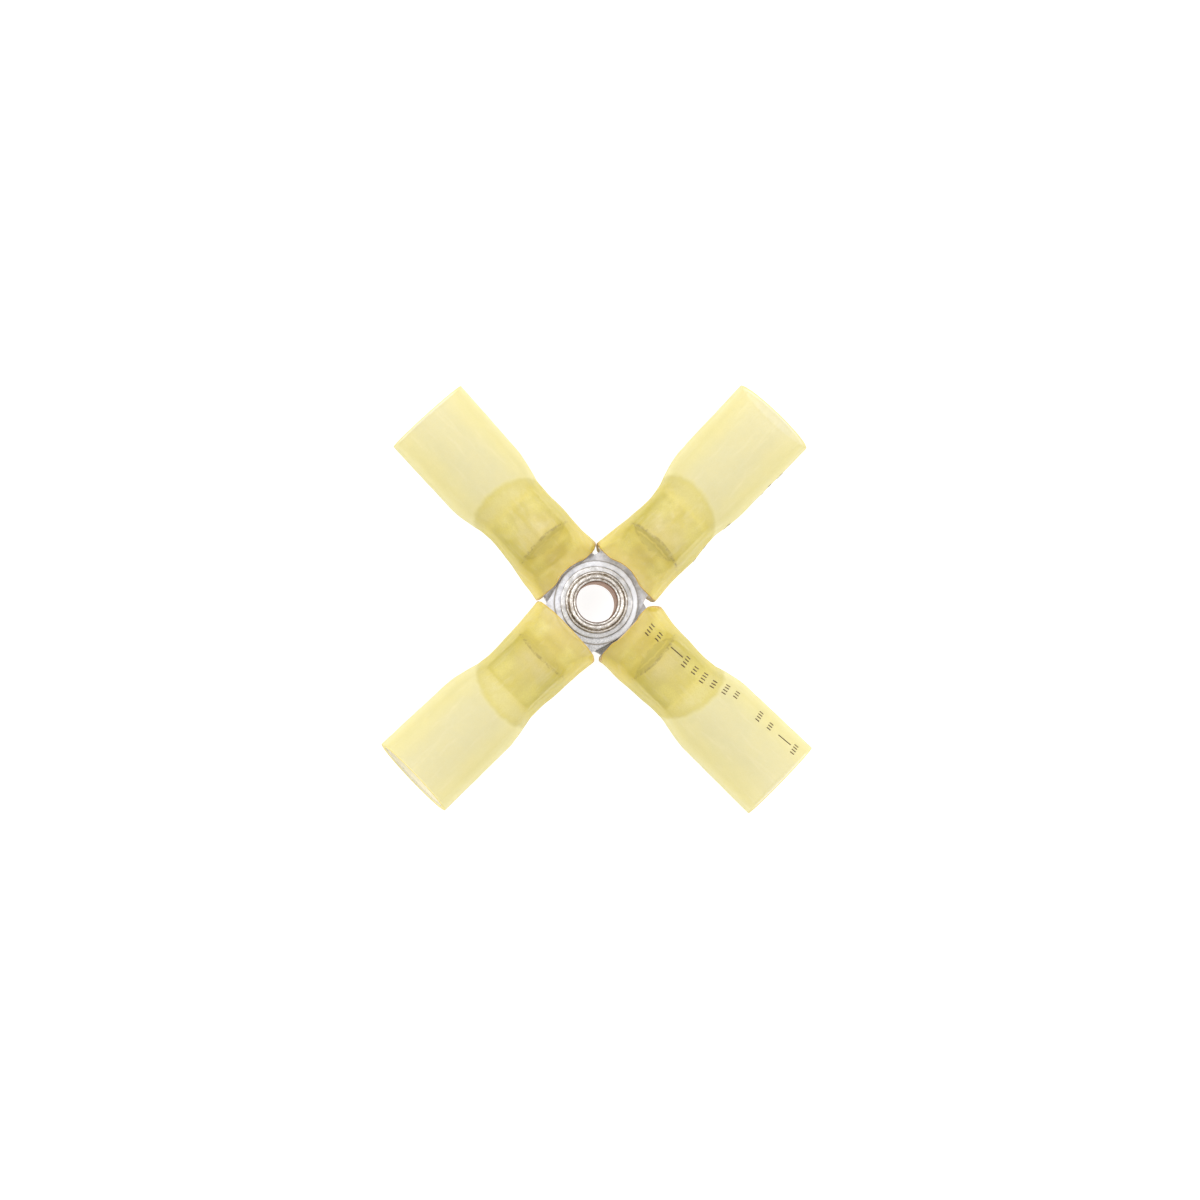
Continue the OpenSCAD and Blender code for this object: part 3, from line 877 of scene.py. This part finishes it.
def stroke(arm, x, a, length, width, lean):
    """Closed printed stroke that follows the skin: it runs along the arm, turned by lean."""
    steps = 1 + int(length / 0.2)
    points = []
    for i in range(steps + 1):
        along = length * (i / steps - 0.5)
        for side, lift in ((-1, INK_FOOT), (1, INK_FOOT), (1, INK_TOP), (-1, INK_TOP)):
            px = x + along * math.cos(lean)
            pa = a + (along * math.sin(lean) + side * width / 2) / float(sleeve_r(px))
            y, z = sleeve_point(arm, np.array([px]), np.array([pa]), -lift)
            points.append((px, float(y[0]), float(z[0])))
    last = 4 * steps
    faces = tube_faces(steps + 1, 4, False) + [(3, 2, 1, 0), (last, last + 1, last + 2, last + 3)]
    return points, faces


# Along the sleeve, where each row of ticks stands and how many it has; a row of none is one long dash
PRINT = [
    (5.5, 4), (6.6, 3), (8.85, 0), (10.1, 4), (11.3, 3), (12.4, 4), (13.5, 3), (14.7, 4),
    (15.8, 3), (18.8, 4), (20.2, 3), (22.1, 0), (23.4, 4),
]
PRINT_LEAN = math.radians(-6)
SPECKS = (9.4, 11.0, 13.7, 14.1, 18.6, 19.6, 20.8, 21.2)
SPECK_LONG, SPECK_WIDE = 0.4, 0.24


def print_on(name, arm_name, strokes):
    """One piece of ink from strokes of (x, angle, length, width, lean) on an arm's sleeve."""
    all_points, all_faces = [], []
    for x, a, length, width, lean in strokes:
        points, faces = stroke(ARMS[arm_name], x, a, length, width, lean)
        base = len(all_points)
        all_points += points
        all_faces += [tuple(base + i for i in f) for f in faces]
    make_piece(
        name, all_points, all_faces, "arm_" + arm_name, ARMS[arm_name], (), [INK]
    )


ticks = []
for at, count in PRINT:
    # the print drifts down the sleeve's side as it goes out
    off_top = 20 + 9 * float(smooth((at - 5.5) / 2.5)) + 11 * float(smooth((at - 13) / 3))
    middle = math.radians(90 - off_top)
    if count == 0:
        ticks.append((at, middle, DASH_LONG, TICK_WIDE, PRINT_LEAN))
    for i in range(count):
        place = i - (count - 1) / 2
        turned_by = TICK_GAP * place / float(sleeve_r(at))
        ticks.append((at - 0.05 * place, middle - turned_by, TICK_LONG, TICK_WIDE, PRINT_LEAN))
print_on("print_marks_south", "south", ticks)

# specks of a worn print down the right side of the east sleeve
specks = []
for i, at in enumerate(SPECKS):
    rise = math.radians(176 - 5 * math.sin(2.7 * i))
    specks.append((at, rise, SPECK_LONG, SPECK_WIDE, 0.0))
print_on("print_specks_east", "east", specks)

# ---- floor, light and camera ----
WHITE = (1.0, 1.0, 1.0, 1.0)
FLOOR_HALF = 2.0
floor_z = cad_box[0].z - 0.05 * MM
floor_corners = [
    (sx * FLOOR_HALF, sy * FLOOR_HALF, floor_z) for sx, sy in ((-1, -1), (1, -1), (1, 1), (-1, 1))
]
floor_mesh = bpy.data.meshes.new("floor")
floor_mesh.from_pydata(floor_corners, [], [(0, 1, 2, 3)])
floor = bpy.data.objects.new("floor", floor_mesh)
bpy.context.scene.collection.objects.link(floor)
# a plain pale floor that glows a little, so it shows as white
floor_material, _, _ = new_material(
    "floor", Base_Color=(0.35, 0.35, 0.35, 1.0), Roughness=0.9, Specular_IOR_Level=0.1,
    Emission_Color=WHITE, Emission_Strength=0.85,
)
floor_mesh.materials.append(floor_material)

world = bpy.data.worlds.new("studio")
world.use_nodes = True
background = world.node_tree.nodes["Background"]
background.inputs["Color"].default_value = WHITE
background.inputs["Strength"].default_value = 0.8
bpy.context.scene.world = world


def softbox(name, azimuth, elevation, distance, size, power):
    """A square area light aimed at the rivet; azimuth is measured as in the row frame."""
    light = bpy.data.lights.new(name, "AREA")
    light.size = size
    light.energy = power
    lamp = bpy.data.objects.new(name, light)
    a, e = math.radians(azimuth), math.radians(elevation)
    way = Vector((math.cos(a) * math.cos(e), math.sin(a) * math.cos(e), math.sin(e)))
    lamp.location = way * distance
    lamp.rotation_mode = "QUATERNION"
    lamp.rotation_quaternion = (-lamp.location).to_track_quat("-Z", "Y")
    bpy.context.scene.collection.objects.link(lamp)


softbox("key", 100, 60, 0.5, 0.3, 1.2)
softbox("fill", -30, 50, 0.5, 0.3, 0.9)

# The camera stands over the rivet, leaning a little towards the west arm, with the arms on the
# diagonals of its picture. The rivet lies slightly left of and below the picture's middle.
TILT = math.radians(5.0)
DISTANCE = 0.6
PICTURE_UP = math.radians(45.4)
VIEW_WIDTH = 115.4 * MM
SENSOR = 36.0
LIP_TOP_Z = 4.1 * MM
SHIFT_RIGHT, SHIFT_UP = 0.33, 0.205
toward = Vector((-math.sin(TILT), 0.0, math.cos(TILT)))
up = Vector((math.cos(PICTURE_UP), math.sin(PICTURE_UP), 0.0))
up = (up - toward * up.dot(toward)).normalized()
right = up.cross(toward).normalized()
camera_data = bpy.data.cameras.new("camera")
camera_data.sensor_width = SENSOR
camera_data.lens = SENSOR * DISTANCE / VIEW_WIDTH
camera = bpy.data.objects.new("camera", camera_data)
target = Vector((0.0, 0.0, LIP_TOP_Z)) + right * SHIFT_RIGHT * MM + up * SHIFT_UP * MM
camera.matrix_world = Matrix.Translation(target + toward * DISTANCE) @ Matrix(
    ((right.x, up.x, toward.x), (right.y, up.y, toward.y), (right.z, up.z, toward.z))
).to_4x4()
bpy.context.scene.collection.objects.link(camera)
bpy.context.scene.camera = camera
bpy.context.scene.view_settings.view_transform = "Standard"
bpy.context.scene.cycles.transparent_max_bounces = 32
